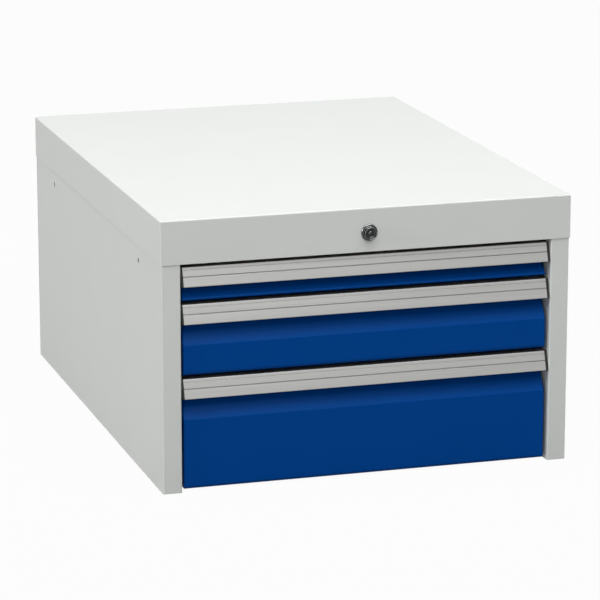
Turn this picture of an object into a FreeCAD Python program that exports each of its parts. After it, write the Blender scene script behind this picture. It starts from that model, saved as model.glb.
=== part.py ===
import FreeCAD, Part
import math
import os

from FreeCAD import Placement, Rotation, Vector

# Sheet-steel unit with three drawers on ball slides and one lock that holds them all.
# Millimetres. +X runs to the right, +Y from the drawer fronts to the rear, and +Z up. The origin is
# the middle of the outline, on the plane that the side panels stand on.

# ---------------------------------------------------------------- driving dimensions

# Drawer pitches, from the top down, and the gaps round the fronts.
top_drawer_pitch = 50.0
middle_drawer_pitch = 100.0
bottom_drawer_pitch = 151.5
skirt_gap = 5.8
front_gap = 4.7
bottom_gap = 2.2
side_gap = 4.1

# Cover and housing.
cover_width = 564.0
cover_depth = 742.0
cover_skirt = 58.7
skirt_hem = 12.0
housing_sheet = 1.25
housing_bend = 0.75
stile_width = 26.0
stile_return = 30.0
rear_flange = 20.0
top_flange = 20.0
bottom_flange = 40.0
tie_depth = 25.0
tie_height = 10.0
side_hole_diameter = 7.0
side_hole_drop = 79.0
side_hole_inset = 121.0

# Drawer fronts: how far each face lies behind the front of the cover, and the slope below the handle.
front_setback = 6.5
recess_setback = 24.5
slope_start = 26.0
slope_end = 54.7
front_sheet = 1.2
front_bend = 1.0
front_top_flange = 10.0

# Handle strip and its end caps.
handle_top_setback = 8.5
handle_lip_setback = 0.2
handle_height = 25.0
handle_wall = 1.8
handle_lip = 4.5
handle_foot = 18.0
handle_foot_wall = 2.0
label_groove_drop = 4.0
label_groove_width = 0.7
label_groove_depth = 0.7
grip_groove_drop = 12.4
grip_groove_width = 1.4
grip_groove_depth = 1.1
cap_wall = 2.9

# Trays. Their rears stop short of the lock bar.
tray_rear_gap = 50.0
tray_sheet = 1.0
tray_bend = 1.0
tray_lip = 8.0
tray_rise = 2.4
tray_drop = 3.0

# Ball slides. Each has an outer, a middle and an inner member, one inside the other.
slide_thickness = 12.7
slide_height = 40.0
slide_sheet = 1.2
slide_bend = 0.6
slide_rise = 1.0
slide_setback = 2.0
slide_rear_gap = 106.25
ball_diameter = 3.6
ball_clearance = 0.1
balls_per_row = 5
cage_length = 300.0
cage_sheet = 0.5
middle_web_offset = 3.2
outer_lip = 10.5
middle_lip = 11.8
inner_lip = 7.3

# Uprights that carry the slides.
upright_width = 40.0
upright_foot = 12.0
upright_sheet = 1.5

# Fasteners.
screw_diameter = 4.0
screw_clearance = 0.1
screw_head_diameter = 7.0
screw_head_height = 1.2
flat_head_height = 0.6
stud_diameter = 5.0
stud_length = 12.0
stud_inset = 60.0
nut_width = 8.0
nut_height = 4.0
rivet_head_diameter = 8.0
rivet_head_height = 1.1
rivet_tail_height = 1.5
rivets_per_side = 4

# Lock, from the key to the bar at the rear.
lock_drop = 33.0
lock_flange_diameter = 23.0
lock_flange_height = 2.2
lock_flange_round = 1.4
lock_barrel_wall = 1.2
lock_barrel_height = 8.0
lock_barrel_round = 0.7
lock_body_diameter = 19.0
lock_body_length = 23.0
lock_plug_diameter = 14.0
lock_plug_sink = 0.5
lock_nut_width = 24.0
lock_nut_height = 4.0
keyway_diameter = 9.0
keyway_depth = 8.0
key_pin_diameter = 6.6
key_notch_width = 1.6
key_notch_depth = 0.9
hole_clearance = 0.2
running_clearance = 0.05
shaft_diameter = 8.0
shaft_socket = 9.0
bush_diameter = 12.0
bush_length = 8.0
bush_flange_diameter = 16.0
bush_flange = 1.5
bracket_sheet = 2.0
bracket_width = 40.0
bracket_foot = 20.0
bracket_drop = 16.0
crank_radius = 8.0
crank_turn = 90.0
crank_thickness = 4.0
crank_rim = 4.0
crank_pin_diameter = 5.0
crank_pin_play = 0.4
bar_width = 30.0
bar_thickness = 3.0
bar_rear_gap = 10.5
bar_crank_gap = 2.0
bar_slide_gap = 0.3
bar_end = 14.0
guide_height = 16.0
guide_wall = 8.0
guide_strap = 2.7
catch_sheet = 2.5
catch_height = 16.0
catch_nose = 5.0
catch_gap = 2.0
catch_play = 0.8
catch_rise = 22.0
catch_base_width = 28.0
catch_base_sheet = 2.0
window_width = 8.0

# ---------------------------------------------------------------- places worked out from them

pitches = [top_drawer_pitch, middle_drawer_pitch, bottom_drawer_pitch]
unit_height = cover_skirt + skirt_gap + sum(pitches)
skirt_low = unit_height - cover_skirt
wall_top = unit_height - housing_sheet

front = -cover_depth / 2
rear = cover_depth / 2
body_half = cover_width / 2 - housing_sheet
body_front = front + housing_sheet
panel_inside = rear - 2 * housing_sheet
wall_inside = body_half - housing_sheet
opening_half = body_half - stile_width
front_half = opening_half - side_gap

front_face = front + front_setback
recess_face = front + recess_setback
tray_front = recess_face + front_sheet
tray_rear = panel_inside - tray_rear_gap
slide_face = opening_half - 0.05
tray_half = slide_face - slide_thickness
slide_front = body_front + stile_return + slide_setback
slide_rear = panel_inside - slide_rear_gap
tie_top = housing_sheet + tie_height

race = ball_diameter + 2 * ball_clearance
middle_height = slide_height - 2 * (slide_sheet + race)
inner_height = middle_height - 2 * (slide_sheet + race)

side_holes = [front + side_hole_inset, rear - side_hole_inset]
upright_offset = upright_width / 2 + upright_foot + side_hole_diameter
upright_places = [y - upright_offset for y in side_holes]

lock_z = unit_height - lock_drop
crank_reach = crank_radius * math.cos(math.radians(crank_turn / 2))
bar_travel = 2 * crank_radius * math.sin(math.radians(crank_turn / 2))
bar_middle = -(crank_radius + crank_reach) / 2
bar_rear = panel_inside - bar_rear_gap
bar_front = bar_rear - bar_thickness
shaft_rear = bar_front - bar_crank_gap
shaft_front = front + lock_body_length


class Drawer:
    """Heights of one drawer: its front, tray, slides and catch."""

    def __init__(self, number, top, bottom):
        self.number = number
        self.top = top
        self.bottom = bottom
        self.floor = max(bottom, tie_top) + tray_rise
        self.rim = top - tray_drop
        self.slide = self.floor + slide_rise + slide_height / 2
        self.catch = self.floor + catch_rise


def lay_out_drawers():
    """Stacks the drawers down from the skirt; the lowest front ends just above the standing plane."""
    drawers = []
    top = skirt_low - skirt_gap
    for number, pitch in enumerate(pitches, start=1):
        last = number == len(pitches)
        low = top - pitch
        drawers.append(Drawer(number, top, low + (bottom_gap if last else front_gap)))
        top = low
    return drawers


drawers = lay_out_drawers()

# ---------------------------------------------------------------- shapes in general

DIRECTIONS = {"x": Vector(1, 0, 0), "y": Vector(0, 1, 0), "z": Vector(0, 0, 1)}
# A section drawn flat as (a, b) stands at Y, Z for "x", at X, Z for "y" and at X, Y for "z".
TURNS = {"x": Rotation(Vector(1, 1, 1), 120), "y": Rotation(Vector(1, 0, 0), 90), "z": Rotation()}


def box(xs, ys, zs):
    """Block between two values along each axis."""
    return Part.makeBox(xs[1] - xs[0], ys[1] - ys[0], zs[1] - zs[0], Vector(xs[0], ys[0], zs[0]))


def rod(diameter, begin, end):
    """Round bar between two points."""
    return Part.makeCylinder(diameter / 2, (end - begin).Length, begin, end - begin)


def hexagon(width, thickness, begin, along):
    """Hexagonal block, measured over its flats, that starts at a point."""
    corner = width / math.sqrt(3)
    turns = [math.radians(60 * step + 30) for step in range(6)]
    edges = outline([(corner * math.cos(turn), corner * math.sin(turn)) for turn in turns])
    face = Part.Face(Part.Wire(edges))
    face.Placement = Placement(begin, TURNS[along])
    return face.extrude(DIRECTIONS[along] * thickness)


def outline(points):
    """Edges of a closed outline with straight sides."""
    corners = [Vector(a, b, 0) for a, b in points]
    return [Part.LineSegment(p, q).toShape() for p, q in zip(corners, corners[1:] + corners[:1])]


def bent_sheet(points, sheet, bend, side):
    """Edges of a bent sheet seen on end.

    The points run along one face. The sheet lies to the left of them for side +1 and to the right for
    -1, and bend is the inside radius at every corner.
    """
    path = [Vector(a, b, 0) for a, b in points]
    runs = [(q - p).normalize() for p, q in zip(path, path[1:])]
    lefts = [Vector(-run.y, run.x, 0) for run in runs]
    face, back = [], []
    near, far = path[0], path[0] + lefts[0] * side * sheet
    start_near, start_far = near, far
    for corner, before, after, left, next_left in zip(path[1:], runs, runs[1:], lefts, lefts[1:]):
        turn = math.copysign(1, before.x * after.y - before.y * after.x)
        radius = bend + (sheet if turn == side else 0)
        reach = radius * math.tan(before.getAngle(after) / 2)
        centre = corner - before * reach + left * turn * radius
        outwards = (corner - centre).normalize()
        begin, end = corner - before * reach, corner + after * reach
        for edges, last, shift, arc_radius in (
            (face, near, 0, radius),
            (back, far, side * sheet, radius - turn * side * sheet),
        ):
            first, second = begin + left * shift, end + next_left * shift
            edges.append(Part.LineSegment(last, first).toShape())
            edges.append(Part.Arc(first, centre + outwards * arc_radius, second).toShape())
        near, far = end, end + next_left * side * sheet
    last_far = path[-1] + lefts[-1] * side * sheet
    face.append(Part.LineSegment(near, path[-1]).toShape())
    back.append(Part.LineSegment(far, last_far).toShape())
    ends = [Part.LineSegment(path[-1], last_far).toShape(), Part.LineSegment(start_far, start_near).toShape()]
    return face + ends[:1] + back[::-1] + ends[1:]


def extrude(edges, along, begin, end):
    """Solid with a flat section, between two values along an axis."""
    face = Part.Face(Part.Wire(Part.__sortEdges__(edges)))
    face.Placement = Placement(DIRECTIONS[along] * begin, TURNS[along])
    return face.extrude(DIRECTIONS[along] * (end - begin))


def mirrored(shape):
    """The same piece for the other side of the unit."""
    return shape.mirror(Vector(0, 0, 0), Vector(1, 0, 0))


def rounded_block(xs, ys, zs, radius, top):
    """Block with every edge rounded but those round its top, or round its bottom if top is True."""
    block = box(xs, ys, zs)
    open_z = zs[0] if top else zs[1]
    edges = [e for e in block.Edges if any(abs(v.Z - open_z) > 1e-6 for v in e.Vertexes)]
    return block.makeFillet(radius, edges)


def cut_all(shape, tools):
    for tool in tools:
        shape = shape.cut(tool)
    return shape


def fuse_all(shapes):
    return shapes[0].multiFuse(shapes[1:]).removeSplitter()


def save(name, shape):
    """Writes one node; a list is a group of separate solids."""
    if isinstance(shape, list):
        shape = Part.makeCompound(shape)
    shape.exportStep(os.path.join("parts", name + ".step"))


# ---------------------------------------------------------------- housing


def stud_points():
    """Studs that hold the cover, over the middle of each side's top flange."""
    x = body_half - top_flange / 2
    ys = [front + stud_inset, 0.0, rear - stud_inset]
    return [Vector(side * x, y, wall_top) for side in (-1, 1) for y in ys]


def make_cover():
    half = cover_width / 2
    bend = housing_bend + housing_sheet
    outer = rounded_block((-half, half), (front, rear), (skirt_low, unit_height), bend, True)
    inner = box((-body_half, body_half), (body_front, rear - housing_sheet), (skirt_low - 1, wall_top))
    shell = outer.cut(inner)
    hem_half = opening_half - side_gap
    hem = box((-hem_half, hem_half), (front, front + skirt_hem), (skirt_low, skirt_low + housing_sheet))
    studs = [rod(stud_diameter, p, p - Vector(0, 0, stud_length)) for p in stud_points()]
    cover = fuse_all([shell, hem] + studs)
    return cover.cut(lock_hole())


def lock_hole():
    """Hole for the lock's body through the skirt and the rail behind it."""
    middle = Vector(0, front - 1, lock_z)
    return rod(lock_body_diameter + hole_clearance, middle, middle + Vector(0, skirt_hem, 0))


def side_hole_points():
    return [Vector(-cover_width, y, unit_height - side_hole_drop) for y in side_holes]


def make_side_panel():
    """Left side: wall, stile and its return at the front, and flanges at the rear, top and bottom."""
    section = bent_sheet(
        [
            (-opening_half, body_front + stile_return),
            (-opening_half, body_front),
            (-body_half, body_front),
            (-body_half, panel_inside),
            (-body_half + rear_flange, panel_inside),
        ],
        housing_sheet,
        housing_bend,
        -1,
    )
    wall = extrude(section, "z", 0, wall_top)
    ys = (slide_front, panel_inside - 2 * housing_sheet)
    x = -body_half + housing_sheet / 2
    low = box((x, -body_half + bottom_flange), ys, (0, housing_sheet))
    high = box((x, -body_half + top_flange), ys, (wall_top - housing_sheet, wall_top))
    panel = fuse_all([wall, low, high])
    across = Vector(cover_width, 0, 0)
    holes = [rod(side_hole_diameter, p, p + across) for p in side_hole_points()]
    down = Vector(0, 0, 2 * housing_sheet)
    holes += [rod(stud_diameter + 2 * screw_clearance, p - down, p) for p in stud_points()]
    holes += [rivet_hole(p) for p in rivet_points()]
    return cut_all(panel, holes)


def rivet_points():
    low, high = bottom_flange, skirt_low - rivet_head_diameter
    step = (high - low) / (rivets_per_side - 1)
    x = body_half - rear_flange / 2
    return [Vector(side * x, 0, low + i * step) for side in (-1, 1) for i in range(rivets_per_side)]


def rivet_hole(point):
    begin = Vector(point.x, panel_inside - 2 * housing_sheet, point.z)
    return rod(screw_diameter + 2 * screw_clearance, begin, begin + Vector(0, 4 * housing_sheet, 0))


def make_rear_panel():
    plate = box((-body_half, body_half), (panel_inside, rear - housing_sheet), (0, wall_top))
    half = body_half - bottom_flange - side_gap
    flange = box((-half, half), (panel_inside - rear_flange, panel_inside), (0, housing_sheet))
    return cut_all(fuse_all([plate, flange]), [rivet_hole(p) for p in rivet_points()])


def make_rear_rivets():
    rivets = []
    for p in rivet_points():
        inside = Vector(p.x, panel_inside - housing_sheet, p.z)
        outside = Vector(p.x, rear - housing_sheet, p.z)
        tail = rod(screw_diameter * 1.5, inside - Vector(0, rivet_tail_height, 0), inside)
        shank = rod(screw_diameter, inside, outside)
        head = rod(rivet_head_diameter, outside, outside + Vector(0, rivet_head_height, 0))
        rivets.append(fuse_all([tail, shank, head]))
    return rivets


def make_lock_rail():
    """Shallow pan between the stiles, open at its rear, behind the front of the skirt."""
    depth = stile_return - housing_sheet
    low = skirt_low + housing_sheet
    pan = box((-opening_half, opening_half), (body_front, body_front + depth), (low, wall_top))
    hollow = box(
        (-opening_half + housing_sheet, opening_half - housing_sheet),
        (body_front + housing_sheet, body_front + depth + 1),
        (low + housing_sheet, wall_top - housing_sheet),
    )
    return cut_all(pan, [hollow, lock_hole()])


def make_tie(y):
    """Angle across the open bottom, resting on the side panels' bottom flanges."""
    section = bent_sheet(
        [(y + tie_depth, housing_sheet), (y, housing_sheet), (y, tie_top)],
        housing_sheet,
        housing_bend,
        -1,
    )
    half = slide_face - side_gap
    return extrude(section, "x", -half, half)


def make_uprights():
    """Hat-shaped posts on the left wall; their faces carry the slides."""
    top = drawers[0].slide + slide_height / 2
    posts = []
    for y in upright_places:
        low, high = y - upright_width / 2, y + upright_width / 2
        foot_x = -wall_inside + upright_sheet
        section = bent_sheet(
            [
                (foot_x, low - upright_foot),
                (foot_x, low),
                (-slide_face, low),
                (-slide_face, high),
                (foot_x, high),
                (foot_x, high + upright_foot),
            ],
            upright_sheet,
            housing_bend,
            1,
        )
        post = extrude(section, "z", housing_sheet, top)
        posts.append(cut_all(post, [slide_screw_hole(y, drawer) for drawer in drawers]))
    return posts


def slide_screw_hole(y, drawer):
    begin = Vector(-wall_inside + upright_sheet, y, drawer.slide)
    end = Vector(-slide_face + 2 * slide_sheet, y, drawer.slide)
    return rod(screw_diameter + 2 * screw_clearance, begin, end)


def make_slide_screws():
    screws = []
    for y in upright_places:
        for drawer in drawers:
            seat = Vector(-slide_face + slide_sheet, y, drawer.slide)
            length = slide_sheet + upright_sheet + screw_diameter
            shank = rod(screw_diameter, seat - Vector(length, 0, 0), seat)
            head = rod(screw_head_diameter, seat, seat + Vector(flat_head_height, 0, 0))
            screw = fuse_all([shank, head])
            screws += [screw, mirrored(screw)]
    return screws


def make_cover_nuts():
    nuts = []
    for p in stud_points():
        begin = p - Vector(0, 0, housing_sheet + nut_height)
        nut = hexagon(nut_width, nut_height, begin, "z")
        nuts.append(nut.cut(rod(stud_diameter, begin, p)))
    return nuts


# ---------------------------------------------------------------- ball slides, left side


def slide_x(offset):
    """Distance into the slide from the face on the upright."""
    return -slide_face + offset


def channel(height, open_x, web_x, z, side):
    """Section of a slide member: a channel with its web at web_x, open towards open_x."""
    half = height / 2
    points = [(open_x, z + half), (web_x, z + half), (web_x, z - half), (open_x, z - half)]
    return bent_sheet(points, slide_sheet, slide_bend, side)


def make_slide_outer(drawer):
    section = channel(slide_height, slide_x(outer_lip), slide_x(0), drawer.slide, 1)
    member = extrude(section, "y", slide_front, slide_rear)
    return cut_all(member, [slide_screw_hole(y, drawer) for y in upright_places])


def make_slide_middle(drawer):
    section = channel(middle_height, slide_x(middle_lip), slide_x(middle_web_offset), drawer.slide, 1)
    return extrude(section, "y", slide_front, slide_rear)


def make_slide_inner(drawer):
    web = slide_x(slide_thickness)
    section = channel(inner_height, web - inner_lip, web, drawer.slide, -1)
    member = extrude(section, "y", slide_front, slide_rear)
    return cut_all(member, [tray_screw_hole(y, drawer) for y in upright_places])


def tray_screw_hole(y, drawer):
    begin = Vector(-tray_half - 2 * slide_sheet, y, drawer.slide)
    end = Vector(-tray_half + 2 * tray_sheet, y, drawer.slide)
    return rod(screw_diameter + 2 * screw_clearance, begin, end)


def make_cage(drawer, web_x, lip_x, row_height):
    """Ball cage: a thin channel with two rows of holes, and the balls in them."""
    middle = (slide_front + slide_rear) / 2
    half = row_height / 2 + cage_sheet / 2
    points = [
        (lip_x, drawer.slide + half),
        (web_x, drawer.slide + half),
        (web_x, drawer.slide - half),
        (lip_x, drawer.slide - half),
    ]
    section = bent_sheet(points, cage_sheet, cage_sheet / 2, 1)
    cage = extrude(section, "y", middle - cage_length / 2, middle + cage_length / 2)
    pitch = cage_length / balls_per_row
    ball_x = (web_x + lip_x) / 2 + cage_sheet
    balls, holes = [], []
    for row in (-1, 1):
        z = drawer.slide + row * row_height / 2
        for step in range(balls_per_row):
            centre = Vector(ball_x, middle + (step + 0.5) * pitch - cage_length / 2, z)
            balls.append(Part.makeSphere(ball_diameter / 2, centre))
            reach = Vector(0, 0, 2 * cage_sheet)
            holes.append(rod(ball_diameter + 2 * ball_clearance, centre - reach, centre + reach))
    return [cut_all(cage, holes)] + balls


def make_outer_cages(drawer):
    """Between the outer and the middle member."""
    web = slide_x((slide_sheet + flat_head_height + middle_web_offset - cage_sheet) / 2)
    row = slide_height - 2 * slide_sheet - race
    pieces = make_cage(drawer, web, slide_x(outer_lip - cage_sheet), row)
    return pieces + [mirrored(piece) for piece in pieces]


def make_inner_cages(drawer):
    """Between the middle and the inner member."""
    web_gap = slide_thickness - inner_lip - middle_web_offset - slide_sheet
    web = slide_x(middle_web_offset + slide_sheet + (web_gap - cage_sheet) / 2)
    row = middle_height - 2 * slide_sheet - race
    pieces = make_cage(drawer, web, slide_x(middle_lip - cage_sheet), row)
    return pieces + [mirrored(piece) for piece in pieces]


# ---------------------------------------------------------------- drawers


def front_outline(drawer):
    """Face of a drawer front as Y, Z points, from its top edge down. A low front slopes to its foot."""
    start_z, end_z = drawer.top - slope_start, drawer.top - slope_end
    points = [(recess_face, drawer.top), (recess_face, start_z)]
    if end_z > drawer.bottom + 2 * front_sheet:
        points.append((front_face, end_z))
    return points + [(front_face, drawer.bottom)]


def make_drawer_front(drawer):
    face = front_outline(drawer)
    top_end = (recess_face + front_top_flange, drawer.top)
    low_end = (tray_front, drawer.bottom)
    section = bent_sheet([top_end] + face + [low_end], front_sheet, front_bend, 1)
    sheet = extrude(section, "x", -front_half, front_half)
    cheek_points = face + [(tray_front, drawer.bottom), (tray_front, drawer.top - front_bend - front_sheet)]
    cheek_points[0] = (recess_face, drawer.top - front_bend - front_sheet)
    cheek_low = drawer.bottom + front_bend + front_sheet
    (upper_y, upper_z), (lower_y, lower_z) = face[-2:]
    share = (cheek_low - lower_z) / (upper_z - lower_z)
    cheek_points[-3] = (lower_y + share * (upper_y - lower_y), cheek_low)
    cheek_points[-2] = (tray_front, cheek_low)
    cheek = extrude(outline(cheek_points), "x", -front_half, -front_half + front_sheet)
    front_piece = fuse_all([sheet, cheek, mirrored(cheek)])
    return cut_all(front_piece, [front_screw_hole(p) for p in front_screw_points(drawer)])


def front_screw_points(drawer):
    """Screws in a row through the tray, the front and the foot of the handle strip."""
    z = drawer.top - handle_foot * 2 / 3
    shares = (-0.8, -0.27, 0.27, 0.8)
    return [Vector(share * tray_half, tray_front + tray_sheet, z) for share in shares]


def front_screw_hole(point):
    length = tray_sheet + front_sheet + handle_foot_wall
    begin = point + Vector(0, tray_sheet, 0)
    return rod(screw_diameter + 2 * screw_clearance, begin, point - Vector(0, length + 1, 0))


def handle_place(along, inwards, drawer):
    """Y, Z of a point on the handle strip, along its face from the top edge and in from the face."""
    lean = handle_top_setback - handle_lip_setback
    length = math.hypot(lean, handle_height)
    step_y, step_z = -lean / length, -handle_height / length
    y = front + handle_top_setback + along * step_y - inwards * step_z
    return (y, drawer.top + along * step_z + inwards * step_y)


def groove_points(drop, width, depth, drawer):
    lean = handle_top_setback - handle_lip_setback
    middle = drop * math.hypot(lean, handle_height) / handle_height
    near, far = middle - width / 2, middle + width / 2
    corners = [(near, 0), (near, depth), (far, depth), (far, 0)]
    return [handle_place(along, inwards, drawer) for along, inwards in corners]


def make_handle_strip(drawer):
    """Extruded strip: leaning face with two grooves, turned-in lip, top web and screwed foot."""
    length = math.hypot(handle_top_setback - handle_lip_setback, handle_height)
    foot_front = recess_face - handle_foot_wall
    web_low = drawer.top - handle_wall
    face_low = handle_place(length - handle_wall, handle_wall, drawer)
    inner_top = handle_place(handle_wall * 1.4, handle_wall, drawer)
    points = [(front + handle_top_setback, drawer.top)]
    points += groove_points(label_groove_drop, label_groove_width, label_groove_depth, drawer)
    points += groove_points(grip_groove_drop, grip_groove_width, grip_groove_depth, drawer)
    points += [
        handle_place(length, 0, drawer),
        handle_place(length, handle_lip, drawer),
        handle_place(length - handle_wall, handle_lip, drawer),
        face_low,
        (inner_top[0], web_low),
        (foot_front, web_low),
        (foot_front, drawer.top - handle_foot),
        (recess_face, drawer.top - handle_foot),
        (recess_face, drawer.top),
    ]
    strip = extrude(outline(points), "x", -front_half, front_half)
    return cut_all(strip, [front_screw_hole(p) for p in front_screw_points(drawer)])


def make_handle_caps(drawer):
    """Moulded caps that close both ends of the strip, in the gaps beside it."""
    length = math.hypot(handle_top_setback - handle_lip_setback, handle_height)
    points = [
        (front + handle_top_setback, drawer.top),
        handle_place(length, 0, drawer),
        handle_place(length, handle_lip, drawer),
        (recess_face, drawer.top - slope_start + handle_wall),
        (recess_face, drawer.top),
    ]
    cap = extrude(outline(points), "x", -front_half - cap_wall, -front_half)
    return [cap, mirrored(cap)]


def make_tray(drawer):
    """Folded box with its rim turned in all round."""
    outer = rounded_block(
        (-tray_half, tray_half),
        (tray_front, tray_rear),
        (drawer.floor, drawer.rim),
        tray_bend + tray_sheet,
        False,
    )
    inner = rounded_block(
        (-tray_half + tray_sheet, tray_half - tray_sheet),
        (tray_front + tray_sheet, tray_rear - tray_sheet),
        (drawer.floor + tray_sheet, drawer.rim - tray_sheet),
        tray_bend,
        False,
    )
    mouth = box(
        (-tray_half + tray_lip, tray_half - tray_lip),
        (tray_front + tray_lip, tray_rear - tray_lip),
        (drawer.floor + 2 * tray_sheet, drawer.rim + 1),
    )
    tray = outer.cut(inner).cut(mouth)
    holes = [front_screw_hole(p) for p in front_screw_points(drawer)]
    for y in upright_places:
        hole = tray_screw_hole(y, drawer)
        holes += [hole, mirrored(hole)]
    return cut_all(tray, holes)


def make_drawer_screws(drawer):
    """Screws into the front, then those into the inner members of both slides."""
    screws = []
    for p in front_screw_points(drawer):
        length = tray_sheet + front_sheet + handle_foot_wall
        shank = rod(screw_diameter, p, p - Vector(0, length, 0))
        screws.append(fuse_all([shank, rod(screw_head_diameter, p, p + Vector(0, screw_head_height, 0))]))
    for y in upright_places:
        seat = Vector(-tray_half + tray_sheet, y, drawer.slide)
        shank = rod(screw_diameter, seat - Vector(tray_sheet + 2 * slide_sheet, 0, 0), seat)
        head = rod(screw_head_diameter, seat, seat + Vector(screw_head_height, 0, 0))
        screw = fuse_all([shank, head])
        screws += [screw, mirrored(screw)]
    return screws


def make_lock_catch(drawer):
    """Plate on the rear of the tray, with a tongue that reaches through the bar's window."""
    base_rear = tray_rear + catch_base_sheet
    base_half = catch_base_width / 2
    half_height = catch_height / 2
    zs = (drawer.catch - half_height, drawer.catch + half_height)
    base = box((bar_middle - base_half, bar_middle + base_half), (tray_rear, base_rear), zs)
    half_sheet = catch_sheet / 2
    tongue_end = bar_rear + catch_play + catch_nose
    tongue = box((bar_middle - half_sheet, bar_middle + half_sheet), (tray_rear, tongue_end), zs)
    notch_top = zs[0] + bar_travel - catch_gap + catch_play
    notch = box(
        (bar_middle - catch_sheet, bar_middle + catch_sheet),
        (bar_front - catch_play, bar_rear + catch_play),
        (zs[0] - 1, notch_top),
    )
    return fuse_all([base, tongue]).cut(notch)


# ---------------------------------------------------------------- lock


def lock_point(y):
    return Vector(0, y, lock_z)


def lock_disc(diameter, height, edge_round):
    """Disc or barrel in front of the skirt, with its front edge rounded."""
    disc = rod(diameter, lock_point(front - height), lock_point(front))
    edge = [e for e in disc.Edges if abs(e.BoundBox.YMax - (front - height)) < 1e-6]
    return disc.makeFillet(edge_round, edge)


def make_lock_housing():
    """Flange and barrel in front of the skirt and threaded body behind it, bored for the plug."""
    bore_diameter = lock_plug_diameter + 2 * running_clearance
    barrel_diameter = bore_diameter + 2 * lock_barrel_wall
    flange = lock_disc(lock_flange_diameter, lock_flange_height, lock_flange_round)
    barrel = lock_disc(barrel_diameter, lock_barrel_height, lock_barrel_round)
    body = rod(lock_body_diameter, lock_point(front), lock_point(shaft_front))
    bore = rod(bore_diameter, lock_point(front - lock_barrel_height - 1), lock_point(shaft_front + 1))
    return fuse_all([flange, barrel, body]).cut(bore)


def make_lock_nut():
    begin = lock_point(body_front + housing_sheet)
    nut = hexagon(lock_nut_width, lock_nut_height, begin, "y")
    return nut.cut(rod(lock_body_diameter, begin, begin + DIRECTIONS["y"] * lock_nut_height))


def make_lock_plug():
    """Plug with a ring keyway round its pin, a notch for the key and a socket for the shaft."""
    begin = front - lock_barrel_height + lock_plug_sink
    plug = rod(lock_plug_diameter, lock_point(begin), lock_point(shaft_front + shaft_socket / 2))
    keyway_end = begin + keyway_depth
    pin = rod(key_pin_diameter, lock_point(begin - 1), lock_point(keyway_end))
    keyway = rod(keyway_diameter, lock_point(begin - 1), lock_point(keyway_end)).cut(pin)
    notch_low = lock_z + (keyway_diameter + key_pin_diameter) / 4
    notch = box(
        (-key_notch_width / 2, key_notch_width / 2),
        (begin - 1, keyway_end),
        (notch_low, lock_z + keyway_diameter / 2 + key_notch_depth),
    )
    socket_front = shaft_front - shaft_socket / 2
    socket = rod(shaft_diameter, lock_point(socket_front), lock_point(shaft_front + shaft_socket))
    return cut_all(plug, [keyway, notch, socket])


def make_lock_shaft():
    return rod(shaft_diameter, lock_point(shaft_front - shaft_socket / 2), lock_point(shaft_rear))


def crank_pin_point(y):
    """Pin of the crank with the lock open: half of its turn below the level of the shaft."""
    angle = math.radians(180 + crank_turn / 2)
    return Vector(crank_radius * math.cos(angle), y, lock_z + crank_radius * math.sin(angle))


def make_lock_crank():
    begin = shaft_rear - crank_thickness
    hub = rod(shaft_diameter + 2 * crank_rim, lock_point(begin), lock_point(shaft_rear))
    ear_diameter = crank_pin_diameter + crank_rim
    ear = rod(ear_diameter, crank_pin_point(begin), crank_pin_point(shaft_rear))
    pin_end = bar_rear + bar_crank_gap
    pin = rod(crank_pin_diameter, crank_pin_point(begin), crank_pin_point(pin_end))
    crank = fuse_all([hub, ear, pin])
    return crank.cut(rod(shaft_diameter, lock_point(begin - 1), lock_point(shaft_rear)))


def bracket_rear():
    """Rear face of the bracket, one bush length ahead of the crank."""
    return shaft_rear - crank_thickness - bush_length


def make_shaft_bracket():
    """Angle under the cover, with a hole for the shaft's bush."""
    face = bracket_rear()
    section = bent_sheet(
        [(face - bracket_foot, wall_top), (face, wall_top), (face, lock_z - bracket_drop)],
        bracket_sheet,
        housing_bend,
        -1,
    )
    bracket = extrude(section, "x", -bracket_width / 2, bracket_width / 2)
    hole = rod(bush_diameter, lock_point(face - 2 * bracket_sheet), lock_point(face + 1))
    return bracket.cut(hole)


def make_shaft_bush():
    face = bracket_rear()
    begin = face - bush_length / 2 - bracket_sheet
    sleeve = rod(bush_diameter, lock_point(begin), lock_point(face + bush_flange))
    flange = rod(bush_flange_diameter, lock_point(face), lock_point(face + bush_flange))
    bore_diameter = shaft_diameter + 2 * running_clearance
    bore = rod(bore_diameter, lock_point(begin - 1), lock_point(face + bush_flange + 1))
    return fuse_all([sleeve, flange]).cut(bore)


def make_lock_bar():
    """Flat bar with a slot for the crank pin and a window for each drawer's tongue."""
    pin = crank_pin_point(0)
    slot_half = crank_pin_diameter / 2 + crank_pin_play
    slot_reach = (crank_radius - crank_reach) / 2 + slot_half
    low = drawers[-1].catch - catch_height / 2 - catch_gap - bar_end
    high = pin.z + slot_half + bar_end / 2
    half = bar_width / 2
    ys = (bar_front, bar_rear)
    through = (bar_front - 1, bar_rear + 1)
    bar = box((bar_middle - half, bar_middle + half), ys, (low, high))
    slot_xs = (bar_middle - slot_reach, bar_middle + slot_reach)
    cuts = [box(slot_xs, through, (pin.z - slot_half, pin.z + slot_half))]
    for drawer in drawers:
        reach = catch_height / 2 + catch_gap
        window_xs = (bar_middle - window_width / 2, bar_middle + window_width / 2)
        cuts.append(box(window_xs, through, (drawer.catch - reach, drawer.catch + reach)))
    return cut_all(bar, cuts)


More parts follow.
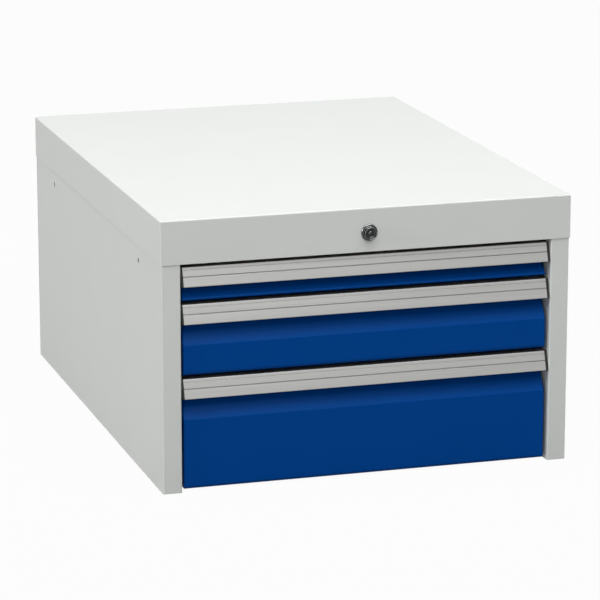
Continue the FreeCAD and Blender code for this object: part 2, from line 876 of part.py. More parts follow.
def make_bar_guides():
    """Blocks on the rear panel that the bar slides through, one between each two windows."""
    guides = []
    half = bar_width / 2 + bar_slide_gap
    for upper, lower in zip(drawers, drawers[1:]):
        z = (upper.catch + lower.catch) / 2
        zs = (z - guide_height / 2, z + guide_height / 2)
        strap_front = bar_front - bar_slide_gap - guide_strap
        wide = half + guide_wall
        block = box((bar_middle - wide, bar_middle + wide), (strap_front, panel_inside), zs)
        slot = box(
            (bar_middle - half, bar_middle + half),
            (bar_front - bar_slide_gap, bar_rear + bar_slide_gap),
            (zs[0] - 1, zs[1] + 1),
        )
        guides.append(block.cut(slot))
    return guides


# ---------------------------------------------------------------- build

side_panel = make_side_panel()
uprights = make_uprights()

save("cover", make_cover())
save("side_panel_left", side_panel)
save("side_panel_right", mirrored(side_panel))
save("rear_panel", make_rear_panel())
save("rear_rivets", make_rear_rivets())
save("lock_rail", make_lock_rail())
save("bottom_tie_front", make_tie(slide_front))
save("bottom_tie_rear", make_tie(slide_rear + tie_depth))
save("slide_uprights_left", uprights)
save("slide_uprights_right", [mirrored(post) for post in uprights])
save("slide_screws", make_slide_screws())
save("cover_nuts", make_cover_nuts())

save("lock_housing", make_lock_housing())
save("lock_nut", make_lock_nut())
save("lock_plug", make_lock_plug())
save("lock_shaft", make_lock_shaft())
save("lock_crank", make_lock_crank())
save("shaft_bracket", make_shaft_bracket())
save("shaft_bush", make_shaft_bush())
save("lock_bar", make_lock_bar())
save("lock_bar_guides", make_bar_guides())

for drawer in drawers:
    number = str(drawer.number)
    outer = make_slide_outer(drawer)
    middle = make_slide_middle(drawer)
    inner = make_slide_inner(drawer)
    save("slide_outer_left_" + number, outer)
    save("slide_outer_right_" + number, mirrored(outer))
    save("slide_middles_" + number, [middle, mirrored(middle)])
    save("slide_inner_left_" + number, inner)
    save("slide_inner_right_" + number, mirrored(inner))
    save("outer_ball_cages_" + number, make_outer_cages(drawer))
    save("inner_ball_cages_" + number, make_inner_cages(drawer))
    save("drawer_front_" + number, make_drawer_front(drawer))
    save("drawer_tray_" + number, make_tray(drawer))
    save("drawer_screws_" + number, make_drawer_screws(drawer))
    save("handle_strip_" + number, make_handle_strip(drawer))
    save("handle_caps_" + number, make_handle_caps(drawer))
    save("lock_catch_" + number, make_lock_catch(drawer))
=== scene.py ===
import math

import bmesh
import bpy
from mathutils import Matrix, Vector


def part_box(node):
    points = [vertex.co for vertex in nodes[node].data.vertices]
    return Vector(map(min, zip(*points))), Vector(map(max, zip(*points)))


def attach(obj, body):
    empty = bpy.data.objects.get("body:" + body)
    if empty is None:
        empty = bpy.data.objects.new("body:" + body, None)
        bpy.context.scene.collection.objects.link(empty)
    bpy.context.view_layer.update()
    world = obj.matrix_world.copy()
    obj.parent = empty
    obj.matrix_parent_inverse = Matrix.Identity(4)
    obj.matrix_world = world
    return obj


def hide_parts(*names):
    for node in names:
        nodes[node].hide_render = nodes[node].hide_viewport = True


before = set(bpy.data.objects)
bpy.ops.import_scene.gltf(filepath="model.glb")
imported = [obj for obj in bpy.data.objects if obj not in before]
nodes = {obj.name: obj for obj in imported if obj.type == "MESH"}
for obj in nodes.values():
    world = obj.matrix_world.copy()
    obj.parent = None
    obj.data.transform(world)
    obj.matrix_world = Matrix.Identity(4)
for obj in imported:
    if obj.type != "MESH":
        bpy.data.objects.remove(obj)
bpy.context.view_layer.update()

mm = 0.001
drawer_numbers = (1, 2, 3)

# ---------------------------------------------------------------- floor and light
# The cabinet stands on a wide sheet of matt white card in a white room. Soft lamps make its top
# palest, its left side next and its front a little darker. Two small ones, lower than its top,
# light the right side and the rear.


def linear(code):
    """Linear colour from an sRGB hex value."""
    shares = [int(code[i : i + 2], 16) / 255 for i in (1, 3, 5)]
    return [s / 12.92 if s <= 0.04045 else ((s + 0.055) / 1.055) ** 2.4 for s in shares] + [1.0]


def add_node(tree, kind, inputs=None, **settings):
    """Adds a node with its own settings; its inputs are values or other nodes' outputs."""
    node = tree.nodes.new(kind)
    for name, value in settings.items():
        setattr(node, name, value)
    for key, value in (inputs or {}).items():
        if isinstance(value, bpy.types.NodeSocket):
            tree.links.new(value, node.inputs[key])
        else:
            node.inputs[key].default_value = value
    return node


def place(name, data):
    """Puts a finished mesh, lamp or camera into the scene."""
    thing = bpy.data.objects.new(name, data)
    bpy.context.scene.collection.objects.link(thing)
    return thing


def seen_directly(tree):
    """1 for what the camera, metal or glass sees, and 0 for light that falls on matt faces."""
    path = add_node(tree, "ShaderNodeLightPath")
    inputs = {0: path.outputs["Is Glossy Ray"], 1: path.outputs["Is Transmission Ray"]}
    mirrored = add_node(tree, "ShaderNodeMath", inputs, operation="MAXIMUM")
    inputs = {0: path.outputs["Is Camera Ray"], 1: mirrored.outputs[0]}
    return add_node(tree, "ShaderNodeMath", inputs, operation="MAXIMUM").outputs[0]


card_reach = 30.0
card_drop = 0.0003
card_glow_share = 0.96

white_card = bpy.data.materials.new("white_card")
white_card.use_nodes = True
tree = white_card.node_tree
tree.nodes.clear()
matt_card = add_node(tree, "ShaderNodeBsdfDiffuse", {"Color": linear("#969694"), "Roughness": 1.0})
glow = add_node(tree, "ShaderNodeEmission", {"Color": linear("#FFFFFF"), "Strength": 1.0})
share = {0: seen_directly(tree), 1: card_glow_share}
share = add_node(tree, "ShaderNodeMath", share, operation="MULTIPLY")
inputs = {0: share.outputs[0], 1: matt_card.outputs[0], 2: glow.outputs[0]}
card_surface = add_node(tree, "ShaderNodeMixShader", inputs)
add_node(tree, "ShaderNodeOutputMaterial", {"Surface": card_surface.outputs[0]})

floor_mesh = bpy.data.meshes.new("card_floor")
corners = [
    (-card_reach, -card_reach),
    (card_reach, -card_reach),
    (card_reach, card_reach),
    (-card_reach, card_reach),
]
floor_mesh.from_pydata([(x, y, -card_drop) for x, y in corners], [], [(0, 1, 2, 3)])
floor_mesh.materials.append(white_card)
card_floor = place("card_floor", floor_mesh)

room_light = 0.1
room = bpy.data.worlds.new("white_room")
room.use_nodes = True
tree = room.node_tree
tree.nodes.clear()
lit = add_node(tree, "ShaderNodeBackground", {"Color": linear("#FFFFFF"), "Strength": room_light})
shown = add_node(tree, "ShaderNodeBackground", {"Color": linear("#FFFFFF"), "Strength": 1.0})
inputs = {0: seen_directly(tree), 1: lit.outputs[0], 2: shown.outputs[0]}
room_surface = add_node(tree, "ShaderNodeMixShader", inputs)
add_node(tree, "ShaderNodeOutputWorld", {"Surface": room_surface.outputs[0]})
bpy.context.scene.world = room

front_middle = (0.0, -0.3, 0.2)
body_middle = (0.0, 0.0, 0.2)
rear_middle = (0.0, 0.3, 0.19)

# Square lamps: name, power in watts, width in metres, where each hangs and what it points at.
lamps = [
    ("lamp_overhead", 181.0, 4.0, (0.0, -0.9, 3.6), front_middle),
    ("lamp_front_high", 58.0, 0.9, (0.5, -4.8, 3.9), front_middle),
    ("lamp_front_low", 124.0, 3.2, (-3.0, -7.4, 1.75), front_middle),
    ("lamp_left", 164.0, 1.5, (-6.0, -0.9, 2.0), body_middle),
    ("lamp_low_right", 96.0, 0.3, (4.8, 0.9, 0.19), rear_middle),
    ("lamp_low_rear", 88.0, 0.3, (0.5, 4.6, 0.19), rear_middle),
]
for name, power, width, stand, aim in lamps:
    lamp = bpy.data.lights.new(name, "AREA")
    lamp.shape = "SQUARE"
    lamp.energy = power
    lamp.size = width
    hung = place(name, lamp)
    hung.location = stand
    hung.rotation_euler = (Vector(aim) - Vector(stand)).to_track_quat("-Z", "Y").to_euler()

# ---------------------------------------------------------------- camera
# A long lens stands 4.7 m off, a little to the left of the front and above it.

camera_turn = math.radians(-16.87)
camera_rise = math.radians(14.1)
camera_distance = 4.669
camera_aim = Vector((0.018, 0.0, 0.1516))
camera_lens = 196.5
film_width = 36.0
farthest_seen = 200.0

lens = bpy.data.cameras.new("camera")
lens.lens = camera_lens
lens.sensor_width = film_width
lens.clip_end = farthest_seen
camera = place("camera", lens)
level = math.cos(camera_rise)
backwards = Vector((
    math.sin(camera_turn) * level,
    -math.cos(camera_turn) * level,
    math.sin(camera_rise),
))
camera.location = camera_aim + backwards * camera_distance
camera.rotation_euler = backwards.to_track_quat("Z", "Y").to_euler()
bpy.context.scene.camera = camera
bpy.context.scene.view_settings.view_transform = "Standard"

# ---------------------------------------------------------------- housing
# Cover, side panels, rear panel, lock rail and bottom ties: 1.25 mm sheet steel, folded and spot
# welded, then sprayed with light grey polyester powder and baked.


def start_material(name):
    """New material with nothing in it but its output, and the node tree to fill."""
    material = bpy.data.materials.new(name)
    material.use_nodes = True
    material.node_tree.nodes.clear()
    return material, material.node_tree


def finish_material(tree, surface):
    """Ends a material with the shader of its surface."""
    add_node(tree, "ShaderNodeOutputMaterial", {"Surface": surface.outputs[0]})


def dress(names, material):
    """Gives CAD nodes a finish of their own."""
    for name in names:
        nodes[name].material_slots[0].material = material


def powder_coat(name, thick, thin, specular, roughness):
    """Baked polyester powder: even satin colour, very slightly paler where the film is thin, with
    the soft swells of orange peel about 1.6 mm apart and a grain finer than that."""
    peel_pitch = 1.6 * mm
    peel_height = 0.03 * mm
    grain_pitch = 0.45 * mm
    cloud_pitch = 90 * mm
    gloss_spread = 0.05
    material, tree = start_material(name)
    spot = add_node(tree, "ShaderNodeTexCoord").outputs["Object"]
    clouds = {"Vector": spot, "Scale": 1 / cloud_pitch, "Detail": 3.0}
    clouds = add_node(tree, "ShaderNodeTexNoise", clouds)
    grain = {"Vector": spot, "Scale": 1 / grain_pitch, "Detail": 1.0}
    grain = add_node(tree, "ShaderNodeTexNoise", grain)
    film = {0: clouds.outputs["Fac"], 6: linear(thick), 7: linear(thin)}
    film = add_node(tree, "ShaderNodeMix", film, data_type="RGBA")
    gloss = {0: grain.outputs["Fac"], 3: roughness - gloss_spread, 4: roughness + gloss_spread}
    gloss = add_node(tree, "ShaderNodeMapRange", gloss)
    peel = {"Vector": spot, "Scale": 1 / peel_pitch, "Detail": 2.0, "Roughness": 0.45}
    peel = add_node(tree, "ShaderNodeTexNoise", peel)
    swell = {"Height": peel.outputs["Fac"], "Strength": 0.35, "Distance": peel_height}
    swell = add_node(tree, "ShaderNodeBump", swell)
    surface = {
        "Base Color": film.outputs[2],
        "Roughness": gloss.outputs[0],
        "Specular IOR Level": specular,
        "IOR": 1.5,
        "Normal": swell.outputs[0],
    }
    finish_material(tree, add_node(tree, "ShaderNodeBsdfPrincipled", surface))
    return material


grey_powder_coat = powder_coat("grey_powder_coat", "#C6C9C6", "#CACDCA", 0.4, 0.4)
housing = ["cover", "side_panel_left", "side_panel_right", "rear_panel", "lock_rail"]
dress(housing + ["bottom_tie_front", "bottom_tie_rear"], grey_powder_coat)

# ---------------------------------------------------------------- rear rivets
# Eight blind rivets hold the rear panel to the side panels' flanges: zinc-plated steel, with a low
# dome outside, the pit of the snapped mandrel in it, and a plain shank through both sheets.

rivet_columns = (-270.75 * mm, 270.75 * mm)
rivets_high = 4
rivet_seat = 369.75 * mm
rivet_head_diameter = 8 * mm
rivet_head_height = 1.1 * mm
rivet_pit_diameter = 2.4 * mm
rivet_shank_diameter = 4 * mm
rivet_shank_length = 4 * mm
dome_segments = 24
dome_rings = 12
rivet_sides = 16
crisp_angle = math.radians(38)

# Zinc plate: a cool bright metal, cloudy where the bath ran, and duller by its spangle.
cloud_pitch = 12 * mm
spangle_pitch = 1.5 * mm
pit_depth = 0.02 * mm
zinc_plate, tree = start_material("zinc_plate")
spot = add_node(tree, "ShaderNodeTexCoord").outputs["Object"]
clouds = {"Vector": spot, "Scale": 1 / cloud_pitch, "Detail": 4.0}
clouds = add_node(tree, "ShaderNodeTexNoise", clouds)
spangle = add_node(tree, "ShaderNodeTexVoronoi", {"Vector": spot, "Scale": 1 / spangle_pitch})
plate = {0: clouds.outputs["Fac"], 6: linear("#A9ADB5"), 7: linear("#C9CCD2")}
plate = add_node(tree, "ShaderNodeMix", plate, data_type="RGBA")
gloss = add_node(tree, "ShaderNodeMapRange", {0: spangle.outputs["Distance"], 3: 0.24, 4: 0.4})
pits = {"Height": clouds.outputs["Fac"], "Strength": 0.2, "Distance": pit_depth}
pits = add_node(tree, "ShaderNodeBump", pits)
surface = {
    "Base Color": plate.outputs[2],
    "Metallic": 1.0,
    "Roughness": gloss.outputs[0],
    "Normal": pits.outputs[0],
}
finish_material(tree, add_node(tree, "ShaderNodeBsdfPrincipled", surface))


def new_tree(name, sizes):
    """Empty Geometry Nodes tree with a geometry input and one named input for each size."""
    tree = bpy.data.node_groups.new(name, "GeometryNodeTree")
    tree.interface.new_socket(name="Geometry", in_out="INPUT", socket_type="NodeSocketGeometry")
    for size, kind in sizes:
        tree.interface.new_socket(name=size, in_out="INPUT", socket_type=kind)
    tree.interface.new_socket(name="Geometry", in_out="OUTPUT", socket_type="NodeSocketGeometry")
    return tree, add_node(tree, "NodeGroupInput")


def low_dome(tree, given):
    """Ball of the head's radius, flattened to the head's height."""
    radius = given.outputs["Head Radius"]
    ball = {"Segments": dome_segments, "Rings": dome_rings, "Radius": radius}
    ball = add_node(tree, "GeometryNodeMeshUVSphere", ball)
    ratio = {0: given.outputs["Head Height"], 1: radius}
    ratio = add_node(tree, "ShaderNodeMath", ratio, operation="DIVIDE")
    flat = add_node(tree, "ShaderNodeCombineXYZ", {0: 1.0, 1: 1.0, 2: ratio.outputs[0]})
    flattened = {"Geometry": ball.outputs[0], "Scale": flat.outputs[0]}
    return add_node(tree, "GeometryNodeTransform", flattened).outputs[0]


def moved_along(tree, shape, distance):
    """Shape moved by a distance along its own axis."""
    offset = add_node(tree, "ShaderNodeCombineXYZ", {2: distance})
    moved = {"Geometry": shape, "Translation": offset.outputs[0]}
    return add_node(tree, "GeometryNodeTransform", moved).outputs[0]


def close_tree(tree, shape, finish):
    """Ends a tree: copies made real, smooth but for sharp edges, and one material over it all."""
    real = add_node(tree, "GeometryNodeRealizeInstances", {0: shape})
    angle = add_node(tree, "GeometryNodeInputMeshEdgeAngle")
    inputs = {0: angle.outputs[0], 1: crisp_angle}
    soft = add_node(tree, "FunctionNodeCompare", inputs, operation="LESS_THAN")
    smooth = add_node(tree, "GeometryNodeSetShadeSmooth", {0: real.outputs[0]}, domain="FACE")
    inputs = {0: smooth.outputs[0], "Shade Smooth": soft.outputs[0]}
    crisp = add_node(tree, "GeometryNodeSetShadeSmooth", inputs, domain="EDGE")
    painted = add_node(tree, "GeometryNodeSetMaterial", {0: crisp.outputs[0], "Material": finish})
    add_node(tree, "NodeGroupOutput", {0: painted.outputs[0]})


def finished(name, holder):
    """Plain mesh of an object with its modifiers. Flats are shaded flat between their bends."""
    flats = holder.modifiers.new("flats", "WEIGHTED_NORMAL")
    flats.keep_sharp = True
    built = holder.evaluated_get(bpy.context.evaluated_depsgraph_get())
    mesh = bpy.data.meshes.new_from_object(built)
    bpy.data.objects.remove(holder)
    mesh.name = name
    return mesh


def grow(name, tree, points, edges, sizes, attributes=()):
    """Plain mesh that a tree makes from points and edges. Attributes are (name, kind, values)."""
    base = bpy.data.meshes.new(name + "_base")
    base.from_pydata(points, edges, [])
    for title, kind, values in attributes:
        layer = base.attributes.new(title, kind, "POINT")
        for item, value in zip(layer.data, values):
            if kind == "FLOAT_VECTOR":
                item.vector = value
            else:
                item.value = value
    holder = place(name + "_base", base)
    modifier = holder.modifiers.new("grow", "NODES")
    modifier.node_group = tree
    for socket in tree.interface.items_tree:
        if socket.name in sizes:
            modifier[socket.identifier] = sizes[socket.name]
    return finished(name, holder)


def fit(name, mesh, body, slot, *stands_for):
    """Places a finished piece on its body."""
    piece = place(name, mesh)
    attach(piece, body)
    if stands_for:
        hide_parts(*stands_for)
    return piece


tree, given = new_tree("blind_rivets", [
    ("Head Radius", "NodeSocketFloat"),
    ("Head Height", "NodeSocketFloat"),
    ("Pit Radius", "NodeSocketFloat"),
    ("Shank Radius", "NodeSocketFloat"),
    ("Shank Length", "NodeSocketFloat"),
])
drill = {
    "Vertices": rivet_sides,
    "Radius": given.outputs["Pit Radius"],
    "Depth": given.outputs["Head Height"],
}
drill = add_node(tree, "GeometryNodeMeshCylinder", drill)
drill = moved_along(tree, drill.outputs[0], given.outputs["Head Height"])
pitted = {0: low_dome(tree, given), 1: drill}
pitted = add_node(tree, "GeometryNodeMeshBoolean", pitted, operation="DIFFERENCE")
shank = {
    "Vertices": rivet_sides,
    "Radius": given.outputs["Shank Radius"],
    "Depth": given.outputs["Shank Length"],
}
shank = add_node(tree, "GeometryNodeMeshCylinder", shank)
half_down = {0: given.outputs["Shank Length"], 1: -0.5}
half_down = add_node(tree, "ShaderNodeMath", half_down, operation="MULTIPLY")
shank = moved_along(tree, shank.outputs[0], half_down.outputs[0])
rivet = add_node(tree, "GeometryNodeJoinGeometry")
tree.links.new(pitted.outputs[0], rivet.inputs[0])
tree.links.new(shank, rivet.inputs[0])
set_rivets = {
    "Points": given.outputs[0],
    "Instance": rivet.outputs[0],
    "Rotation": (math.radians(-90), 0, 0),
}
set_rivets = add_node(tree, "GeometryNodeInstanceOnPoints", set_rivets)
close_tree(tree, set_rivets.outputs[0], zinc_plate)

rivet_low, rivet_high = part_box("rear_rivets")
rivet_lowest = rivet_low.z + rivet_head_diameter / 2
rivet_step = (rivet_high.z - rivet_low.z - rivet_head_diameter) / (rivets_high - 1)
rivet_places = [
    (x, rivet_seat, rivet_lowest + i * rivet_step)
    for x in rivet_columns
    for i in range(rivets_high)
]
sizes = {
    "Head Radius": rivet_head_diameter / 2,
    "Head Height": rivet_head_height,
    "Pit Radius": rivet_pit_diameter / 2,
    "Shank Radius": rivet_shank_diameter / 2,
    "Shank Length": rivet_shank_length,
}
fit("rivets", grow("rivets", tree, rivet_places, [], sizes), "housing", "zinc_steel", "rear_rivets")

# ---------------------------------------------------------------- slide uprights and cover nuts
# Four hat-shaped posts of 1.5 mm steel, welded inside the sides, and six M5 nuts on the cover's
# welded studs. All are bright zinc plated, and so is the nut behind the lock.

dress(["slide_uprights_left", "slide_uprights_right", "cover_nuts", "lock_nut"], zinc_plate)

# ---------------------------------------------------------------- ball slides
# Roll-formed steel members, zinc plated after forming, so fine draw lines run along them. The cages
# are thin bright strip and the balls hardened, polished steel.

line_pitch = 0.6 * mm
line_length = 120 * mm
line_depth = 0.02 * mm
rolled_zinc, tree = start_material("rolled_zinc_strip")
spot = add_node(tree, "ShaderNodeTexCoord").outputs["Object"]
stretch = {"Vector": spot, "Scale": (1 / line_pitch, 1 / line_length, 1 / line_pitch)}
stretch = add_node(tree, "ShaderNodeMapping", stretch)
lines = {"Vector": stretch.outputs[0], "Scale": 1.0, "Detail": 3.0}
lines = add_node(tree, "ShaderNodeTexNoise", lines)
strip = {0: lines.outputs["Fac"], 6: linear("#9EA3AC"), 7: linear("#C4C8CF")}
strip = add_node(tree, "ShaderNodeMix", strip, data_type="RGBA")
gloss = add_node(tree, "ShaderNodeMapRange", {0: lines.outputs["Fac"], 3: 0.22, 4: 0.42})
score = {"Height": lines.outputs["Fac"], "Strength": 0.3, "Distance": line_depth}
score = add_node(tree, "ShaderNodeBump", score)
surface = {
    "Base Color": strip.outputs[2],
    "Metallic": 1.0,
    "Roughness": gloss.outputs[0],
    "Normal": score.outputs[0],
}
finish_material(tree, add_node(tree, "ShaderNodeBsdfPrincipled", surface))

oil_pitch = 4 * mm
polished_steel, tree = start_material("polished_ball_steel")
spot = add_node(tree, "ShaderNodeTexCoord").outputs["Object"]
film = {"Vector": spot, "Scale": 1 / oil_pitch, "Detail": 2.0}
film = add_node(tree, "ShaderNodeTexNoise", film)
oiled = {0: film.outputs["Fac"], 6: linear("#8F9092"), 7: linear("#B4B4B2")}
oiled = add_node(tree, "ShaderNodeMix", oiled, data_type="RGBA")
gloss = add_node(tree, "ShaderNodeMapRange", {0: film.outputs["Fac"], 3: 0.1, 4: 0.28})
surface = {"Base Color": oiled.outputs[2], "Metallic": 1.0, "Roughness": gloss.outputs[0]}
finish_material(tree, add_node(tree, "ShaderNodeBsdfPrincipled", surface))

members = [
    "slide_outer_left",
    "slide_outer_right",
    "slide_inner_left",
    "slide_inner_right",
    "slide_middles",
]
for number in drawer_numbers:
    dress(["%s_%d" % (member, number) for member in members], rolled_zinc)
    dress(["%s_ball_cages_%d" % (row, number) for row in ("outer", "inner")], polished_steel)

# ---------------------------------------------------------------- screws into the slides
# Low cross-recess screws, zinc plated: twelve hold the outer members to the uprights, and eight in
# each drawer pass through its tray, four into the front and the handle strip, four into the slides.

screw_head_diameter = 7 * mm
screw_recess_width = 4 * mm
screw_rows = (-289 * mm, 211 * mm)
recess_arm_share = 0.24

tree, given = new_tree("cross_recess_screws", [
    ("Head Radius", "NodeSocketFloat"),
    ("Head Height", "NodeSocketFloat"),
    ("Recess Width", "NodeSocketFloat"),
])
arm = {0: given.outputs["Recess Width"], 1: recess_arm_share}
arm = add_node(tree, "ShaderNodeMath", arm, operation="MULTIPLY")
size = {0: given.outputs["Recess Width"], 1: arm.outputs[0], 2: given.outputs["Head Height"]}
size = add_node(tree, "ShaderNodeCombineXYZ", size)
blade = add_node(tree, "GeometryNodeMeshCube", {"Size": size.outputs[0]})
blade = moved_along(tree, blade.outputs[0], given.outputs["Head Height"])
cross = {"Geometry": blade, "Rotation": (0, 0, math.radians(90))}
cross = add_node(tree, "GeometryNodeTransform", cross)
driven = {0: low_dome(tree, given), 1: blade}
driven = add_node(tree, "GeometryNodeMeshBoolean", driven, operation="DIFFERENCE")
tree.links.new(cross.outputs[0], driven.inputs[1])
facing = {"Name": "facing"}
facing = add_node(tree, "GeometryNodeInputNamedAttribute", facing, data_type="FLOAT_VECTOR")
turn = add_node(tree, "FunctionNodeAlignRotationToVector", {"Vector": facing.outputs[0]}, axis="Z")
set_screws = {
    "Points": given.outputs[0],
    "Instance": driven.outputs[0],
    "Rotation": turn.outputs[0],
}
set_screws = add_node(tree, "GeometryNodeInstanceOnPoints", set_screws)
close_tree(tree, set_screws.outputs[0], zinc_plate)
screw_tree = tree


def screw_heads(name, spots, facings, head_height):
    """Mesh of screw heads at the given places, each facing its own way."""
    sizes = {
        "Head Radius": screw_head_diameter / 2,
        "Head Height": head_height,
        "Recess Width": screw_recess_width,
    }
    return grow(name, screw_tree, spots, [], sizes, [("facing", "FLOAT_VECTOR", facings)])


slide_screw_seat = 253.5 * mm
slide_screw_height = 0.6 * mm
spots, facings = [], []
for number in drawer_numbers:
    low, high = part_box("slide_outer_left_%d" % number)
    for y in screw_rows:
        for side in (-1, 1):
            spots.append((side * slide_screw_seat, y, (low.z + high.z) / 2))
            facings.append((-side, 0, 0))
heads = screw_heads("slide_screw_heads", spots, facings, slide_screw_height)
fit("slide_screw_heads", heads, "housing", "zinc_steel", "slide_screws")

# ---------------------------------------------------------------- trays and lock catches
# Each drawer's box is 1 mm steel, folded and spot welded with its rim turned in, in the same light
# grey powder. The notched tongue on its rear is bare zinc-plated plate.

tray_powder_coat = powder_coat("tray_powder_coat", "#C2C6C2", "#C9CDC9", 0.4, 0.5)
dress(["drawer_tray_%d" % number for number in drawer_numbers], tray_powder_coat)
dress(["lock_catch_%d" % number for number in drawer_numbers], zinc_plate)

# ---------------------------------------------------------------- drawer fronts
# Shallow pans of 1.2 mm steel for nominal heights of 50, 100 and 150 mm, less the gaps: a recess
# behind the handle, a slope under it and an upright face, folded round and powdered deep blue.

blue_powder_coat = powder_coat("blue_powder_coat", "#003E86", "#01418B", 0.03, 0.32)

front_sheet = 1.2 * mm
foot_bend = 5.5 * mm
side_bend = 1.2 * mm
fold_bend = 0.8 * mm
slope_start = 26 * mm
slope_end = 54.7 * mm
recess_depth = 18 * mm
bend_segments = 5


def side_profile(number):
    """Side view of a front as Y, Z points, from its rear top edge round to its rear bottom edge."""
    low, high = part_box("drawer_front_%d" % number)
    recess_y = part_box("handle_strip_%d" % number)[1].y
    face_y = recess_y - recess_depth
    rear_y = recess_y + front_sheet
    start_z = high.z - slope_start
    end_z = high.z - slope_end
    points = [(rear_y, high.z), (recess_y, high.z), (recess_y, start_z)]
    if end_z > low.z + 2 * front_sheet:
        points.append((face_y, end_z))
    return points + [(face_y, low.z), (rear_y, low.z)]


def folded_front(name, profile, half):
    """Sharp pan, open at its rear. Each edge carries its bend as a share of the foot's."""
    pan = bmesh.new()
    left = [pan.verts.new((-half, y, z)) for y, z in profile]
    right = [pan.verts.new((half, y, z)) for y, z in profile]
    for i in range(len(profile) - 1):
        pan.faces.new((left[i], left[i + 1], right[i + 1], right[i]))
    pan.faces.new(left[::-1])
    pan.faces.new(right)
    shares = pan.edges.layers.float.new("bevel_weight_edge")
    rim = {left[0], left[-1], right[0], right[-1]}
    foot = {left[-2], right[-2]}
    for edge in pan.edges:
        ends = set(edge.verts)
        if ends <= rim:
            continue
        beside = ends <= set(left) or ends <= set(right)
        if ends == foot:
            bend = foot_bend
        elif beside and not ends & {left[0], right[0]}:
            bend = side_bend
        else:
            bend = fold_bend
        edge[shares] = bend / foot_bend
    bmesh.ops.recalc_face_normals(pan, faces=pan.faces)
    mesh = bpy.data.meshes.new(name)
    pan.to_mesh(mesh)
    pan.free()
    return mesh


def pressed(name, mesh, sheet, material):
    """Pan with its folds and corners rounded and its sheet's thickness inwards, shaded smooth."""
    holder = place(name + "_base", mesh)
    bends = holder.modifiers.new("bends", "BEVEL")
    bends.limit_method = "WEIGHT"
    bends.width = foot_bend
    bends.segments = bend_segments
    wall = holder.modifiers.new("sheet", "SOLIDIFY")
    wall.thickness = sheet
    wall.offset = -1.0
    wall.use_even_offset = True
    mesh.materials.append(material)
    mesh.shade_smooth()
    return finished(name, holder)


for number in drawer_numbers:
    node = "drawer_front_%d" % number
    pan = folded_front("front_%d" % number, side_profile(number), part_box(node)[1].x)
    pan = pressed("front_%d" % number, pan, front_sheet, blue_powder_coat)
    fit("front_%d" % number, pan, "drawer_%d" % number, "front_paint", node)

# ---------------------------------------------------------------- handle strips
# One aluminium extrusion, anodised matt and sawn to length: a leaning face with a narrow label
# groove and a wider grip groove, a turned-in lip, a top web, and a foot screwed to the front.

drawn_pitch = 0.9 * mm
drawn_length = 260 * mm
drawn_depth = 0.02 * mm
anodised_aluminium, tree = start_material("anodised_aluminium")
spot = add_node(tree, "ShaderNodeTexCoord").outputs["Object"]
stretch = {"Vector": spot, "Scale": (1 / drawn_length, 1 / drawn_pitch, 1 / drawn_pitch)}
stretch = add_node(tree, "ShaderNodeMapping", stretch)
lines = {"Vector": stretch.outputs[0], "Scale": 1.0, "Detail": 4.0}
lines = add_node(tree, "ShaderNodeTexNoise", lines)
metal = {0: lines.outputs["Fac"], 6: linear("#929290"), 7: linear("#A5A5A3")}
metal = add_node(tree, "ShaderNodeMix", metal, data_type="RGBA")
gloss = add_node(tree, "ShaderNodeMapRange", {0: lines.outputs["Fac"], 3: 0.28, 4: 0.42})
score = {"Height": lines.outputs["Fac"], "Strength": 0.25, "Distance": drawn_depth}
score = add_node(tree, "ShaderNodeBump", score)
surface = {
    "Base Color": metal.outputs[2],
    "Metallic": 0.85,
    "Roughness": gloss.outputs[0],
    "Normal": score.outputs[0],
}
finish_material(tree, add_node(tree, "ShaderNodeBsdfPrincipled", surface))

weld_reach = 0.01 * mm
arc_steps = 4

tree, given = new_tree("extruded_section", [
    ("Start", "NodeSocketFloat"),
    ("Length", "NodeSocketFloat"),
    ("Arc Steps", "NodeSocketInt"),
    ("Finish", "NodeSocketMaterial"),
])
section = add_node(tree, "GeometryNodeMeshToCurve", {0: given.outputs[0]})
bend = add_node(tree, "GeometryNodeInputNamedAttribute", {"Name": "bend"}, data_type="FLOAT")
rounded = {
    "Curve": section.outputs[0],
    "Radius": bend.outputs[0],
    "Count": given.outputs["Arc Steps"],
    "Limit Radius": True,
}
rounded = add_node(tree, "GeometryNodeFilletCurve", rounded, mode="POLY")
blank = add_node(tree, "GeometryNodeFillCurve", {0: rounded.outputs[0]}, mode="NGONS")
blank = add_node(tree, "GeometryNodeRealizeInstances", {0: blank.outputs[0]})
along = add_node(tree, "ShaderNodeCombineXYZ", {2: given.outputs["Length"]})
pushed = {
    "Mesh": blank.outputs[0],
    "Offset": along.outputs[0],
    "Offset Scale": 1.0,
    "Individual": False,
}
pushed = add_node(tree, "GeometryNodeExtrudeMesh", pushed, mode="FACES")
back = add_node(tree, "GeometryNodeFlipFaces", {0: blank.outputs[0]})
closed = add_node(tree, "GeometryNodeJoinGeometry")
tree.links.new(pushed.outputs[0], closed.inputs[0])
tree.links.new(back.outputs[0], closed.inputs[0])
welded = {0: closed.outputs[0], "Distance": weld_reach}
welded = add_node(tree, "GeometryNodeMergeByDistance", welded)
begin = add_node(tree, "ShaderNodeCombineXYZ", {0: given.outputs["Start"]})
laid = {
    "Geometry": welded.outputs[0],
    "Translation": begin.outputs[0],
    "Rotation": (math.radians(90), 0, math.radians(90)),
}
laid = add_node(tree, "GeometryNodeTransform", laid)
close_tree(tree, laid.outputs[0], given.outputs["Finish"])
section_tree = tree

face_lean = 8.3 * mm
face_height = 25 * mm
strip_wall = 1.8 * mm
strip_lip = 4.5 * mm
foot_wall = 2 * mm
foot_height = 18 * mm
